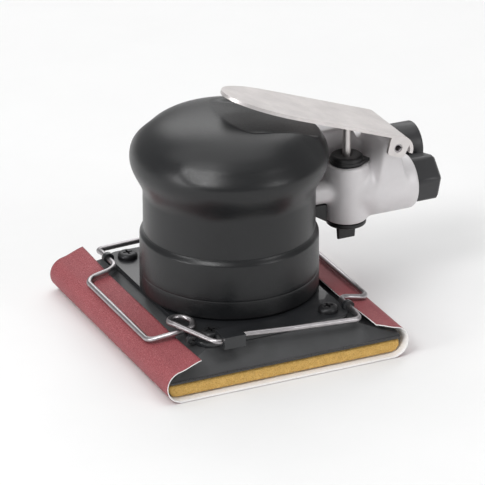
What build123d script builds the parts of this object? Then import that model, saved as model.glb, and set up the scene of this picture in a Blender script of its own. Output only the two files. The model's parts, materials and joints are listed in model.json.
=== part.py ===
"""Palm-grip pneumatic orbital sander with a square clip-on pad.

Millimetres. The origin lies on the motor axis at the height of the sanding
face, +Z runs up the motor axis and +X points along the air arm. The orbit
carries the pad's centre round the motor axis; at rest it stands on -X.
"""

from build123d import *
from math import cos, pi, radians, sin, tan
import os

# ---------------------------------------------------------------- driving sizes
# Orbit and fits
ORBIT = 1.2              # radius of the pad's orbit
RUN_FIT = 0.04           # radial clearance of a running fit
SEAT_FIT = 0.02          # radial clearance of a seated fit
AIR_GAP = 0.3            # gap between curved faces that move past each other
END_GAP = 0.1            # axial gap beside a turning part

# Abrasive sheet: U-shaped wrap, open on top
SHEET_W = 114.0          # along Y
SHEET_T = 0.7
WRAP_OUT = 2.2           # how far the wrap stands out past the foam
WRAP_R = 6.8             # outer radius of the wrap round the pad's edge
FLAP_LEN = 9.3           # straight part that lies up on the base plate
FLAP_SLOPE = 11.0        # degrees above the horizontal

# Foam cushion and base plate
FOAM_X, FOAM_Y = 98.4, 108.6
FOAM_T = 6.2
FOAM_EDGE_R = 4.7
FLANGE_T = 1.5           # thin rim of the base plate
RIM_INSET = 0.5          # slope starts this far inside the rim
BASE_TOP_X, BASE_TOP_Y = 61.0, 93.0
BASE_RISE = 6.5          # height of the sloping block above the rim
BOLT_POCKET_D = 11.4
BOLT_POCKET_H = 3.6
RIM_CORNER_R, RIM_EDGE_R, RIM_OVER = 1.5, 0.5, 0.6   # its corners, top edge and overhang in Y

# Clamp plate with its ears and catches
PLATE_X, PLATE_Y, PLATE_T = 64.0, 92.0, 2.0
PLATE_CORNER_R = 5.0
PLATE_BORE_D = 24.0
SCREW_X, SCREW_Y = 25.1, 39.2
SCREW_HEAD_D, SCREW_HEAD_H, SCREW_D = 8.0, 2.2, 3.2
SCREW_LEN = 7.0
RECESS_W, RECESS_L, RECESS_H = 0.9, 4.0, 1.2
SCREW_DOME = 0.7         # share of a head's height that is rounded
EAR_R = 2.3
EAR_T = 2.0
EAR_Y = 40.0
SPARE_EAR_Z = 16.2
CATCH_T = 1.2
CATCH_X0, CATCH_X1 = -25.6, -16.6
CATCH_DEPTH = 7.2        # from the plate's edge to the outer face of the lip
CATCH_TOP = 4.5          # above the plate's top face
CATCH_LIP = 4.8

# Spring wire clamps
WIRE_D = 2.2
PIVOT_X = 33.3
PIVOT_Z = 17.6
BAR_IN, BAR_Z = 2.3, 14.65   # the bail bar's distance inside the foam's edge
BAR_Y0, BAR_Y1 = -30.0, 30.8
LONG_ARM_Y = 50.8        # the long arm starts out here, clear of the plate
ARM_END_Y = 47.95        # and ends here, inside the far catch
ARM_GAP = 0.2            # between the arms and the catch's leaf over them
COIL_X, COIL_Y = 32.9, 29.2
COIL_R = 4.5
COIL_Z, COIL_CLIMB = 18.4, 0.5   # lowest corner and climb per corner
SHORT_ARM_Y = 50.35
COIL_TURNS = (-60, 0, 60, 120, 180)      # corners of the hexagon that the coil rounds off
COIL_IN = (4.6, 0.1, 0.9)    # corner before the coil: outward, inside its edge, below it
COIL_OUT = (3.9, 3.0, 2.2)   # corner after the coil: outward, beside and above its centre
CATCH_PASS = 1.5         # how far an arm's end runs past the catch's middle
LONG_END, SHORT_END = 6.5, 2.2   # straight ends: before the catch's middle, outside its edge
SHORT_LIFT = 0.1         # the short arm's end slopes down by this
KNEE_X, KNEE_IN, KNEE_Z = -4.0, 0.9, 18.2    # bend in the long arm
HEEL_Z, HEEL_LEN = 16.7, 5.2     # the long arm's low corner and its run into the ear
BEND_SHARE = 0.45        # share of the shorter run that one bend may use

# Motor housing, liner and plates
BORE_R = 26.0
HOUSING_WALL = 5.3
HOUSING_Z0 = 30.0
ROOF_T = 5.7
LOCK_RING_T = 4.5
LOCK_RING_Z0 = 34.0
LOWER_PLATE_T = 9.0
UPPER_PLATE_T = 8.3
LINER_LEN = 18.5
ROOF_EDGE_R = 3.0
PLATE_SHAFT_GAP = 1.0    # round the shaft where it passes an end plate
RING_HOLE_R, RING_HOLE_IN, RING_CUP_GAP = 1.6, 3.4, 1.4   # spanner holes; room round the cup
CHAMBER_R = 20.0
CHAMBER_OFFSET = 2.5
ROTOR_R = 17.2
VANES = 5
VANE_T, VANE_H = 2.0, 7.4
VANE_START = 36          # degrees from the key to the first vane
SLOT_GAP = 0.1
DOWEL_R, DOWEL_LEN, DOWEL_AT = 1.2, 26.0, 23.2

# Shaft, crank and spindle
SHAFT_R = 6.0
TOP_JOURNAL_R = 4.0
KEY_W, KEY_H, KEY_LEN = 3.0, 3.0, 12.0
CUP_R = 17.0
CUP_Z0 = 20.6
CUP_DEPTH = 9.4
WEB_T = 3.0
WEIGHT_R = 22.5
WEIGHT_T = 8.0
WEIGHT_ARC = 150.0
SPINDLE_R = 5.0
SHOULDER_R = 6.4
HUB_R, HUB_T = 11.0, 4.0
BOLT_R, BOLT_HEAD_R, BOLT_HEAD_H, BOLT_LEN = 3.0, 5.2, 3.2, 14.0
SOCKET_SHARE = 0.6       # share of the bolt head's height taken by its socket
HUB_EDGE_R, WEIGHT_EDGE_R, SHAFT_CHAMFER = 1.0, 1.0, 0.5
SNAP_T, SNAP_W = 1.0, 1.6    # retaining ring in the cup
SNAP_GAP = (4.0, 5.0)    # its gap, along X and Y

# Ball bearings: bore radius, outer radius, width
MAIN_BEARING = (SHAFT_R, 14.0, 8.0)
TOP_BEARING = (TOP_JOURNAL_R, 11.0, 7.0)
SPINDLE_BEARING = (SPINDLE_R, 13.0, 8.0)
RACE_SHARE = 0.24        # share of the section taken by each race
BALLS = 8
BALL_GAP = 0.05          # between the balls and the races

# Skirt and grip
SKIRT_Z0, SKIRT_Z1 = 17.5, 41.0
SKIRT_R0, SKIRT_R1 = 35.2, 35.0
SKIRT_WALL = 2.4
SHOULDER_ROUND, SKIRT_FOOT_R = 1.0, 0.6
SEAM_Z, SEAM_W, SEAM_DEPTH = 25.0, 0.6, 0.35
SKIRT_FUNNEL = 1.5       # height of the taper inside, under the housing
LEG_R, LEG_INSET = 3.2, 0.6      # rubber legs, and their distance inside the housing's wall
WAIST_R = 33.7
WAIST_TOP = 57.0
HEAD_R, HEAD_Z = 38.7, 72.0
GRIP_TOP = 88.9
HEAD_POWER = 2.6         # roundness of the dome: 2 is an ellipse, more is squarer
HEAD_POINTS = 5          # points the dome's curve passes through
FOOT_FLARE, FOOT_H = 0.4, 4.0    # the grip widens at its foot
CUTTER_LEN = 20.0        # cutters reach this far past the grip's wall
GUSSET_X, GUSSET_W = 41.8, 4.0   # rib under the feed tube
GUSSET_Z0, GUSSET_Z1, GUSSET_FALL = 35.6, 43.4, 4.0
GUSSET_ROOT = 1.0        # how far it reaches into the grip's wall
LEVER_RELIEF = 0.4       # the grip's top is hollowed this far round the pressed lever

# Air arm of the casting
ARM_END_X = 78.2
INLET_Z = 46.7
BARREL_R = 11.3
CONE_LEN, CONE_STEP = 9.0, 0.3    # the barrel grows out of the valve boss
DUCT_R = 10.2
EXHAUST_Y, EXHAUST_Z = 18.0, 53.3
VALVE_X = 51.0
BOSS_R = 8.8
BOSS_Z0, BOSS_Z1 = 35.2, 59.4
TUBE_R, TUBE_Z = 4.6, 48.2
WEB_TOP = 70.4
WEB_Y0, WEB_Y1 = 7.4, 24.0
WEB_END_X = 61.0
HINGE_X, HINGE_Z = 65.7, 68.3
HINGE_BOSS_R = 3.2
HINGE_FOOT = (7.5, 8.0)  # the hinge block's foot, toward the grip and toward the ports
HINGE_NECK = 3.0         # the block is this much narrower than its boss, each side
WEB_SLANT, WEB_DROP = 4.0, 1.0   # the wall's sloping end
ARM_ROOT = 4.0           # how deep the arm's pieces start inside the housing's wall
PASSAGE_R, PASSAGE_DROP = 2.2, 2.6   # inlet passage, and how far it lies below the seat
EXHAUST_WALL = 6.0       # from the cup's outside to the silencer's bore
OUTLET_R, OUTLET_Z = 2.0, 49.8

# Throttle valve
STEM_R = 1.75
VALVE_BORE_R = 4.6
GUIDE_D, GUIDE_T, GUIDE_PLUG_R, GUIDE_PLUG_H = 13.8, 3.2, 6.0, 6.0
SEAT_Z, SEAT_T = 45.4, 1.8
POPPET_R, POPPET_T = 3.9, 2.0
SPRING_WIRE, SPRING_R, SPRING_TURNS = 0.6, 2.8, 3.0
SEAT_GAP, POPPET_CHAMFER = 0.9, 0.4  # air gap round the stem in the seat
GUIDE_LOW, GUIDE_STEP, GUIDE_CHAMFER = 0.45, 0.4, 0.8    # lower share of the flange, its step
EAR_IN, EAR_OUT, EAR_BACK = (4.0, -5.6), (1.6, -3.4), (0.6, 1.4)     # corners of the guide's ear
REG_FLANGE_D, REG_FLANGE_T = 16.0, 1.8
REG_PLUG_H = 4.4
REG_BLADE_W, REG_BLADE_H, REG_BLADE_T = 8.6, 6.6, 2.2
REG_RING_R, REG_EDGE_R = 0.7, 0.7
REG_TAPER = 4            # degrees, down the blade

# Ports
PORT_SPIGOT_R, PORT_CHAMFER = 7.2, 0.6
SPIGOT_LEN = 8.6
INLET_HEX_R = 10.2       # across corners, halved
INLET_HEX_TURN = 166.0
HEX_ROUND, HEX_CHAMFER = 2.4, 1.1
INLET_LEN = 10.4
INLET_BORE_R = 5.7
SCREEN_T = 0.8
MESH_R, MESH_PITCH, MESH_ROWS = 0.6, 1.1, 5
SILENCER_R, SILENCER_LEN, SILENCER_BORE_R = 9.2, 11.8, 6.0
ELEMENT_LEN, ELEMENT_WALL, ELEMENT_INSET = 12.0, 2.5, 1.0
SILENCER_END, SILENCER_EDGE_R = 2.5, 0.9     # its drilled end wall
VENT_R, VENT_AT, VENTS = 1.5, 4.0, 6

# Throttle lever
LEVER_SLOPE = 19.8       # released
LEVER_TRAVEL = 6.0
LEVER_T = 1.4
LEVER_W = 31.0
LEVER_TAIL_R = 6.0       # outer radius of the hood over the hinge
LEVER_TAIL_AT = -1.0     # its centre: this far along the lever, and as far above the pin
LEVER_REACH = 74.0       # from the hinge pin to the palm end
LEVER_RISE = 5.0         # top face above the pin's axis
LEVER_PALM_LEN = 26.0
LUG_LEN, LUG_DROP, LUG_SLANT, LUG_CORNER_R = 9.4, 3.6, 1.0, 1.5
PIN_R, PIN_WALL, PIN_INSET = 1.75, 0.55, 0.2     # rolled pin, and its end inside the lever
PIN_SLOT = (2.1, 0.3)    # the roll's open seam, along X and Z

# ---------------------------------------------------------------- worked out
foam_z0 = SHEET_T
base_z0 = foam_z0 + FOAM_T
rim_z1 = base_z0 + FLANGE_T
base_z1 = rim_z1 + BASE_RISE
plate_z1 = base_z1 + PLATE_T
rim_x, rim_y = FOAM_X, FOAM_Y + RIM_OVER

lower_plate_z0 = LOCK_RING_Z0 + LOCK_RING_T
liner_z0 = lower_plate_z0 + LOWER_PLATE_T
liner_z1 = liner_z0 + LINER_LEN
upper_plate_z1 = liner_z1 + UPPER_PLATE_T
housing_r = BORE_R + HOUSING_WALL
housing_z1 = upper_plate_z1 + ROOF_T
cup_z1 = CUP_Z0 + CUP_DEPTH + WEB_T
top_bearing_z0 = upper_plate_z1 - TOP_BEARING[2]
spindle_bearing_z0 = CUP_Z0 + CUP_DEPTH - SPINDLE_BEARING[2] - END_GAP

pad_plane = Plane.XY.move(Location((-ORBIT, 0, 0)))
SIDES = (-1, 1)


def at_pad(height):
    """Plane parallel to the sole, centred on the pad."""
    return pad_plane.offset(height)


def at_axis(height, x=0.0, y=0.0):
    """Plane parallel to the sole at a height, centred on x, y."""
    return Plane.XY.move(Location((x, y, height)))


def upright(x=0.0, y=0.0):
    """Plane that faces -Y: its x is world X and its y is world Z."""
    return Plane(origin=(x, y, 0), x_dir=(1, 0, 0), z_dir=(0, -1, 0))


def across(x, y=0.0, z=0.0):
    """Plane square to the air arm: its x is world Y and its y is world Z."""
    return Plane(origin=(x, y, z), x_dir=(0, 1, 0), z_dir=(1, 0, 0))


def save(part, name):
    """Label a finished piece and write it."""
    part.label = name
    export_step(part, f"parts/{name}.step")


os.makedirs("parts", exist_ok=True)

# ---------------------------------------------------------------- abrasive sheet
mid_r = WRAP_R - SHEET_T / 2
wrap_x = FOAM_X / 2 + WRAP_OUT - WRAP_R
wrap_top = radians(90 - FLAP_SLOPE)
flap_start = (wrap_x + mid_r * cos(wrap_top), WRAP_R + mid_r * sin(wrap_top))
flap_end = (flap_start[0] - FLAP_LEN * cos(radians(FLAP_SLOPE)),
            flap_start[1] + FLAP_LEN * sin(radians(FLAP_SLOPE)))
wrap_side = (wrap_x + mid_r, WRAP_R)

with BuildPart() as abrasive_sheet:
    with BuildSketch(upright(-ORBIT)):
        with BuildLine():
            Line((-wrap_x, SHEET_T / 2), (wrap_x, SHEET_T / 2))
            for side in SIDES:
                ThreePointArc((side * wrap_x, SHEET_T / 2),
                              (side * wrap_side[0], wrap_side[1]),
                              (side * flap_start[0], flap_start[1]))
                Line((side * flap_start[0], flap_start[1]), (side * flap_end[0], flap_end[1]))
        trace(line_width=SHEET_T)
    extrude(amount=SHEET_W / 2, both=True)
save(abrasive_sheet.part, "abrasive_sheet")

# ---------------------------------------------------------------- foam cushion
with BuildPart() as foam_pad:
    with BuildSketch(at_pad(foam_z0)):
        Rectangle(FOAM_X, FOAM_Y)
    extrude(amount=FOAM_T)
    lower_edges = foam_pad.edges().filter_by(Axis.Y).group_by(Axis.Z)[0]
    fillet(lower_edges, FOAM_EDGE_R)
save(foam_pad.part, "foam_pad")

# ---------------------------------------------------------------- base plate
with BuildPart() as base_plate:
    with BuildSketch(at_pad(base_z0)):
        RectangleRounded(rim_x, rim_y, RIM_CORNER_R)
    extrude(amount=FLANGE_T)
    fillet(base_plate.edges().group_by(Axis.Z)[-1], RIM_EDGE_R)
    with BuildSketch(at_pad(rim_z1)):
        Rectangle(rim_x - 2 * RIM_INSET, rim_y - 2 * RIM_INSET)
    with BuildSketch(at_pad(base_z1)):
        Rectangle(BASE_TOP_X, BASE_TOP_Y)
    loft()
    with BuildSketch(at_pad(base_z0)):
        Circle(BOLT_POCKET_D / 2)
    extrude(amount=BOLT_POCKET_H, mode=Mode.SUBTRACT)
    with BuildSketch(at_pad(base_z0)):
        Circle(BOLT_R + SEAT_FIT)
    extrude(amount=base_z1 - base_z0, mode=Mode.SUBTRACT)
    with BuildSketch(at_pad(base_z1)):
        with GridLocations(2 * SCREW_X, 2 * SCREW_Y, 2, 2):
            Circle(SCREW_D / 2 + SEAT_FIT)
    extrude(amount=-(SCREW_LEN - PLATE_T + END_GAP), mode=Mode.SUBTRACT)
save(base_plate.part, "base_plate")

# ---------------------------------------------------------------- clamp plate
catch_y0 = PLATE_Y / 2
catch_z1 = plate_z1 + CATCH_TOP

with BuildPart() as clamp_plate:
    with BuildSketch(at_pad(base_z1)):
        RectangleRounded(PLATE_X, PLATE_Y, PLATE_CORNER_R)
        Circle(PLATE_BORE_D / 2, mode=Mode.SUBTRACT)
        with GridLocations(2 * SCREW_X, 2 * SCREW_Y, 2, 2):
            Circle(SCREW_D / 2 + RUN_FIT, mode=Mode.SUBTRACT)
    extrude(amount=PLATE_T)
    for end in SIDES:
        for side in SIDES:
            # Ears that carry the wires' pivots; the two spare ones lie lower
            ear_z = PIVOT_Z if side != end else SPARE_EAR_Z
            outer_x, inner_x = side * (PIVOT_X + EAR_R), side * (PIVOT_X - EAR_R)
            with BuildSketch(upright(-ORBIT, end * EAR_Y)):
                with BuildLine():
                    ThreePointArc((outer_x, ear_z), (side * PIVOT_X, ear_z + EAR_R),
                                  (inner_x, ear_z))
                    Polyline((inner_x, ear_z), (inner_x, base_z1), (side * PIVOT_X, base_z1),
                             (outer_x, ear_z))
                make_face()
                with Locations((side * PIVOT_X, ear_z)):
                    Circle(WIRE_D / 2 + RUN_FIT, mode=Mode.SUBTRACT)
            extrude(amount=EAR_T / 2, both=True)
    for end in SIDES:
        # Folded catch: web up from the plate's edge, leaf over the wires, lip down
        middle = -end * (CATCH_X0 + CATCH_X1) / 2
        hook_plane = Plane(origin=(middle - ORBIT, 0, 0), x_dir=(0, end, 0), z_dir=(end, 0, 0))
        with BuildSketch(hook_plane):
            with BuildLine():
                Polyline((catch_y0 - CATCH_T / 2, base_z1 + PLATE_T / 2),
                         (catch_y0 - CATCH_T / 2, catch_z1 - CATCH_T / 2),
                         (catch_y0 + CATCH_DEPTH - CATCH_T / 2, catch_z1 - CATCH_T / 2),
                         (catch_y0 + CATCH_DEPTH - CATCH_T / 2, catch_z1 - CATCH_LIP))
            trace(line_width=CATCH_T)
        extrude(amount=(CATCH_X1 - CATCH_X0) / 2, both=True)
save(clamp_plate.part, "clamp_plate")

# ---------------------------------------------------------------- plate screws
with BuildPart() as plate_screws:
    with BuildSketch(at_pad(plate_z1)):
        with GridLocations(2 * SCREW_X, 2 * SCREW_Y, 2, 2):
            Circle(SCREW_HEAD_D / 2)
    extrude(amount=SCREW_HEAD_H)
    fillet(plate_screws.edges().group_by(Axis.Z)[-1], SCREW_HEAD_H * SCREW_DOME)
    with BuildSketch(at_pad(plate_z1)):
        with GridLocations(2 * SCREW_X, 2 * SCREW_Y, 2, 2):
            Circle(SCREW_D / 2)
    extrude(amount=-SCREW_LEN)
    with BuildSketch(at_pad(plate_z1 + SCREW_HEAD_H)):
        with GridLocations(2 * SCREW_X, 2 * SCREW_Y, 2, 2):
            Rectangle(RECESS_L, RECESS_W)
            Rectangle(RECESS_W, RECESS_L)
    extrude(amount=-RECESS_H, mode=Mode.SUBTRACT)
save(plate_screws.part, "plate_screws")

# ---------------------------------------------------------------- wire clamps
coil_corner = COIL_R / cos(radians(30))
bar_x = FOAM_X / 2 - BAR_IN
arm_end_z = catch_z1 - CATCH_T - ARM_GAP - WIRE_D / 2


def coil_points():
    """Corners of the single turn of spring, climbing one and a bit wires."""
    corners = []
    for step, turn in enumerate(COIL_TURNS):
        angle = radians(turn)
        height = COIL_Z + COIL_CLIMB * step
        corners.append((-COIL_X + coil_corner * cos(angle), -COIL_Y + coil_corner * sin(angle), height))
    return corners


def clamp_points():
    """Corners of the -X clamp's wire, from its long arm's end to its short arm's end."""
    catch_mid = (CATCH_X0 + CATCH_X1) / 2
    far_catch = -catch_mid
    return [
        (far_catch + CATCH_PASS, ARM_END_Y, arm_end_z),
        (far_catch - LONG_END, ARM_END_Y, arm_end_z),
        (KNEE_X, LONG_ARM_Y - KNEE_IN, KNEE_Z),
        (-PIVOT_X, LONG_ARM_Y, HEEL_Z),
        (-PIVOT_X, LONG_ARM_Y - HEEL_LEN, PIVOT_Z),
        (-PIVOT_X, BAR_Y1, PIVOT_Z),
        (-bar_x, BAR_Y1, BAR_Z),
        (-bar_x, BAR_Y0, BAR_Z),
        (-COIL_X - COIL_IN[0], -COIL_Y - COIL_R + COIL_IN[1], COIL_Z - COIL_IN[2]),
        *coil_points(),
        (-COIL_X - COIL_OUT[0], -COIL_Y - COIL_OUT[1], COIL_Z + COIL_OUT[2]),
        (CATCH_X0 - SHORT_END, -SHORT_ARM_Y, arm_end_z + SHORT_LIFT),
        (catch_mid - CATCH_PASS, -SHORT_ARM_Y, arm_end_z),
    ]


def clamp_radii(points):
    """Bend radius at each inner corner: the coil's own, or as the runs allow."""
    radii = []
    for before, here, after in zip(points, points[1:], points[2:]):
        run_in = Vector(*here) - Vector(*before)
        run_out = Vector(*after) - Vector(*here)
        half_turn = radians(run_in.get_angle(run_out)) / 2
        room = BEND_SHARE * min(run_in.length, run_out.length) / tan(half_turn)
        radii.append(min(room, COIL_R))
    return radii


def wire_clamp(turned):
    """One spring wire clamp; the second is the first turned half round."""
    points = clamp_points()
    plane = at_pad(0) if not turned else at_pad(0).rotated((0, 0, 180))
    world = [plane.from_local_coords(Vector(*point)) for point in points]
    with BuildPart() as clamp:
        with BuildLine():
            path = FilletPolyline(*world, radius=clamp_radii(points))
        with BuildSketch(Plane(origin=path @ 0, z_dir=path % 0)):
            Circle(WIRE_D / 2)
        sweep(path=path)
    return clamp.part


save(wire_clamp(False), "left_wire_clamp")
save(wire_clamp(True), "right_wire_clamp")

# ---------------------------------------------------------------- hub and its bolt
hub_z1 = base_z1 + HUB_T
with BuildPart() as pad_spindle:
    with BuildSketch(at_pad(base_z1)):
        Circle(HUB_R)
    extrude(amount=HUB_T)
    fillet(pad_spindle.edges().group_by(Axis.Z)[-1], HUB_EDGE_R)
    with BuildSketch(at_pad(hub_z1)):
        Circle(SHOULDER_R)
    extrude(amount=spindle_bearing_z0 - hub_z1)
    with BuildSketch(at_pad(spindle_bearing_z0)):
        Circle(SPINDLE_R)
    extrude(amount=SPINDLE_BEARING[2])
    with BuildSketch(at_pad(base_z1)):
        Circle(BOLT_R + SEAT_FIT)
    extrude(amount=BOLT_LEN - (base_z1 - base_z0 - BOLT_POCKET_H) + END_GAP, mode=Mode.SUBTRACT)
save(pad_spindle.part, "pad_spindle")

with BuildPart() as spindle_bolt:
    with BuildSketch(at_pad(base_z0 + BOLT_POCKET_H)):
        Circle(BOLT_HEAD_R)
    extrude(amount=-BOLT_HEAD_H)
    with BuildSketch(at_pad(base_z0 + BOLT_POCKET_H)):
        Circle(BOLT_R)
    extrude(amount=BOLT_LEN)
    with BuildSketch(at_pad(base_z0 + BOLT_POCKET_H - BOLT_HEAD_H)):
        RegularPolygon(BOLT_R, 6)
    extrude(amount=BOLT_HEAD_H * SOCKET_SHARE, mode=Mode.SUBTRACT)
save(spindle_bolt.part, "spindle_bolt")


# ---------------------------------------------------------------- ball bearings
def bearing_races(size, plane):
    """Inner race, and outer race with its balls, as two parts."""
    bore, outer, width = size
    section = (outer - bore) * RACE_SHARE
    ball_r = (outer - bore - 2 * section) / 2 - BALL_GAP
    pitch = (bore + outer) / 2
    with BuildPart() as inner:
        with BuildSketch(plane):
            Circle(bore + section)
            Circle(bore + SEAT_FIT, mode=Mode.SUBTRACT)
        extrude(amount=width)
    with BuildPart() as outer_race:
        with BuildSketch(plane):
            Circle(outer - SEAT_FIT)
            Circle(outer - section, mode=Mode.SUBTRACT)
        extrude(amount=width)
        with Locations(plane.offset(width / 2)):
            with PolarLocations(pitch, BALLS):
                Sphere(ball_r)
    return inner.part, outer_race.part


for name, size, plane in (
        ("lower_bearing", MAIN_BEARING, at_axis(lower_plate_z0)),
        ("upper_bearing", TOP_BEARING, at_axis(top_bearing_z0)),
        ("spindle_bearing", SPINDLE_BEARING, at_pad(spindle_bearing_z0))):
    inner_race, outer_race = bearing_races(size, plane)
    save(inner_race, name + "_inner")
    save(outer_race, name + "_outer")

# ---------------------------------------------------------------- crank shaft
with BuildPart() as crank_shaft:
    with BuildSketch(at_axis(CUP_Z0)):
        Circle(CUP_R)
    extrude(amount=CUP_DEPTH + WEB_T)
    with BuildSketch(at_pad(CUP_Z0)):
        Circle(SPINDLE_BEARING[1])
    extrude(amount=CUP_DEPTH, mode=Mode.SUBTRACT)
    with BuildSketch(at_axis(cup_z1)):
        Circle(SHAFT_R)
    extrude(amount=liner_z1 - cup_z1)
    with BuildSketch(at_axis(liner_z1)):
        Circle(TOP_JOURNAL_R)
    extrude(amount=UPPER_PLATE_T - END_GAP)
    chamfer(crank_shaft.edges().group_by(Axis.Z)[-1], SHAFT_CHAMFER)
    with BuildSketch(at_axis(liner_z0 + (LINER_LEN - KEY_LEN) / 2)):
        with Locations((SHAFT_R, 0)):
            Rectangle(KEY_H, KEY_W)
    extrude(amount=KEY_LEN, mode=Mode.SUBTRACT)
save(crank_shaft.part, "crank_shaft")

with BuildPart() as shaft_key:
    with BuildSketch(at_axis(liner_z0 + (LINER_LEN - KEY_LEN) / 2)):
        with Locations((SHAFT_R, 0)):
            Rectangle(KEY_H - SEAT_FIT, KEY_W - SEAT_FIT)
    extrude(amount=KEY_LEN)
save(shaft_key.part, "shaft_key")

with BuildPart() as counterweight:
    with BuildSketch(at_axis(CUP_Z0 + END_GAP)):
        with BuildLine():
            half = WEIGHT_ARC / 2
            outer_arc = CenterArc((0, 0), WEIGHT_R, -half, WEIGHT_ARC)
            inner_arc = CenterArc((0, 0), CUP_R, -half, WEIGHT_ARC)
            Line(outer_arc @ 0, inner_arc @ 0)
            Line(outer_arc @ 1, inner_arc @ 1)
        make_face()
    extrude(amount=WEIGHT_T)
    fillet(counterweight.edges().filter_by(Axis.Z), WEIGHT_EDGE_R)
save(counterweight.part, "counterweight")

with BuildPart() as spindle_ring:
    with BuildSketch(at_pad(spindle_bearing_z0 - SNAP_T)):
        Circle(SPINDLE_BEARING[1])
        Circle(SPINDLE_BEARING[1] - SNAP_W, mode=Mode.SUBTRACT)
        with Locations((0, SPINDLE_BEARING[1])):
            Rectangle(*SNAP_GAP, mode=Mode.SUBTRACT)
    extrude(amount=SNAP_T)
save(spindle_ring.part, "spindle_retaining_ring")

# ---------------------------------------------------------------- rotor and vanes
rotor_len = LINER_LEN - 2 * END_GAP
slot_depth = VANE_H + SLOT_GAP
with BuildPart() as rotor:
    with BuildSketch(at_axis(liner_z0 + END_GAP)):
        Circle(ROTOR_R)
        Circle(SHAFT_R + SEAT_FIT, mode=Mode.SUBTRACT)
        with Locations((SHAFT_R, 0)):
            Rectangle(KEY_H, KEY_W, mode=Mode.SUBTRACT)
        with PolarLocations(ROTOR_R - slot_depth / 2, VANES, start_angle=VANE_START):
            Rectangle(slot_depth + 1, VANE_T + 2 * SLOT_GAP, mode=Mode.SUBTRACT)
    extrude(amount=rotor_len)
save(rotor.part, "rotor")

with BuildPart() as rotor_vanes:
    with BuildSketch(at_axis(liner_z0 + END_GAP)):
        with PolarLocations(ROTOR_R - VANE_H / 2 - SLOT_GAP, VANES, start_angle=VANE_START):
            Rectangle(VANE_H, VANE_T)
    extrude(amount=rotor_len)
save(rotor_vanes.part, "rotor_vanes")

# ---------------------------------------------------------------- liner and end plates
with BuildPart() as cylinder_liner:
    with BuildSketch(at_axis(liner_z0)):
        Circle(BORE_R - SEAT_FIT)
        with Locations((0, CHAMBER_OFFSET)):
            Circle(CHAMBER_R, mode=Mode.SUBTRACT)
        with Locations((0, -DOWEL_AT)):
            Circle(DOWEL_R + SEAT_FIT, mode=Mode.SUBTRACT)
    extrude(amount=LINER_LEN)
save(cylinder_liner.part, "cylinder_liner")


def end_plate(z0, thick, bearing, pocket_up, shaft_r):
    """Plate that closes the air chamber and holds one bearing."""
    pocket_z = z0 + thick - bearing[2] if pocket_up else z0
    with BuildPart() as plate:
        with BuildSketch(at_axis(z0)):
            Circle(BORE_R - SEAT_FIT)
            Circle(shaft_r + PLATE_SHAFT_GAP, mode=Mode.SUBTRACT)
            with Locations((0, -DOWEL_AT)):
                Circle(DOWEL_R + SEAT_FIT, mode=Mode.SUBTRACT)
        extrude(amount=thick)
        with BuildSketch(at_axis(pocket_z)):
            Circle(bearing[1])
        extrude(amount=bearing[2], mode=Mode.SUBTRACT)
    return plate.part


save(end_plate(lower_plate_z0, LOWER_PLATE_T, MAIN_BEARING, False, SHAFT_R), "lower_end_plate")
save(end_plate(liner_z1, UPPER_PLATE_T, TOP_BEARING, True, TOP_JOURNAL_R), "upper_end_plate")

with BuildPart() as liner_dowel:
    with BuildSketch(at_axis(liner_z0 - (DOWEL_LEN - LINER_LEN) / 2, 0, -DOWEL_AT)):
        Circle(DOWEL_R)
    extrude(amount=DOWEL_LEN)
save(liner_dowel.part, "liner_dowel")

with BuildPart() as lock_ring:
    with BuildSketch(at_axis(LOCK_RING_Z0)):
        Circle(BORE_R - SEAT_FIT)
        Circle(CUP_R + RING_CUP_GAP, mode=Mode.SUBTRACT)
        with PolarLocations(BORE_R - RING_HOLE_IN, 4):
            Circle(RING_HOLE_R, mode=Mode.SUBTRACT)
    extrude(amount=LOCK_RING_T)
save(lock_ring.part, "motor_lock_ring")

# ---------------------------------------------------------------- skirt
def ring_profile_r(height):
    """Outer radius of the skirt, which tapers slightly upward."""
    share = (height - SKIRT_Z0) / (SKIRT_Z1 - SKIRT_Z0)
    return SKIRT_R0 + (SKIRT_R1 - SKIRT_R0) * share


with BuildPart() as skirt:
    with BuildSketch(upright()):
        with BuildLine():
            inner_low = SKIRT_R0 - SKIRT_WALL
            Polyline((inner_low, SKIRT_Z0), (SKIRT_R0, SKIRT_Z0), (SKIRT_R1, SKIRT_Z1),
                     (housing_r, SKIRT_Z1), (housing_r, HOUSING_Z0),
                     (inner_low, HOUSING_Z0 - SKIRT_FUNNEL), (inner_low, SKIRT_Z0))
        make_face()
        with Locations((ring_profile_r(SEAM_Z), SEAM_Z)):
            Rectangle(2 * SEAM_DEPTH, SEAM_W, mode=Mode.SUBTRACT)
    revolve(axis=Axis.Z)
    rims = skirt.edges().filter_by(GeomType.CIRCLE).group_by(Axis.Z)
    fillet(rims[0].sort_by(SortBy.RADIUS)[-1], SKIRT_FOOT_R)
    fillet(rims[-1].sort_by(SortBy.RADIUS)[-1], SHOULDER_ROUND)
save(skirt.part, "skirt")

# ---------------------------------------------------------------- rubber legs
leg_at = housing_r - LEG_R - LEG_INSET
with BuildPart() as rubber_legs:
    with BuildSketch(at_axis(plate_z1 + AIR_GAP)):
        with PolarLocations(leg_at, 4, start_angle=45):
            Circle(LEG_R)
    extrude(amount=HOUSING_Z0 - plate_z1 - AIR_GAP)
save(rubber_legs.part, "rubber_legs")

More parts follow.
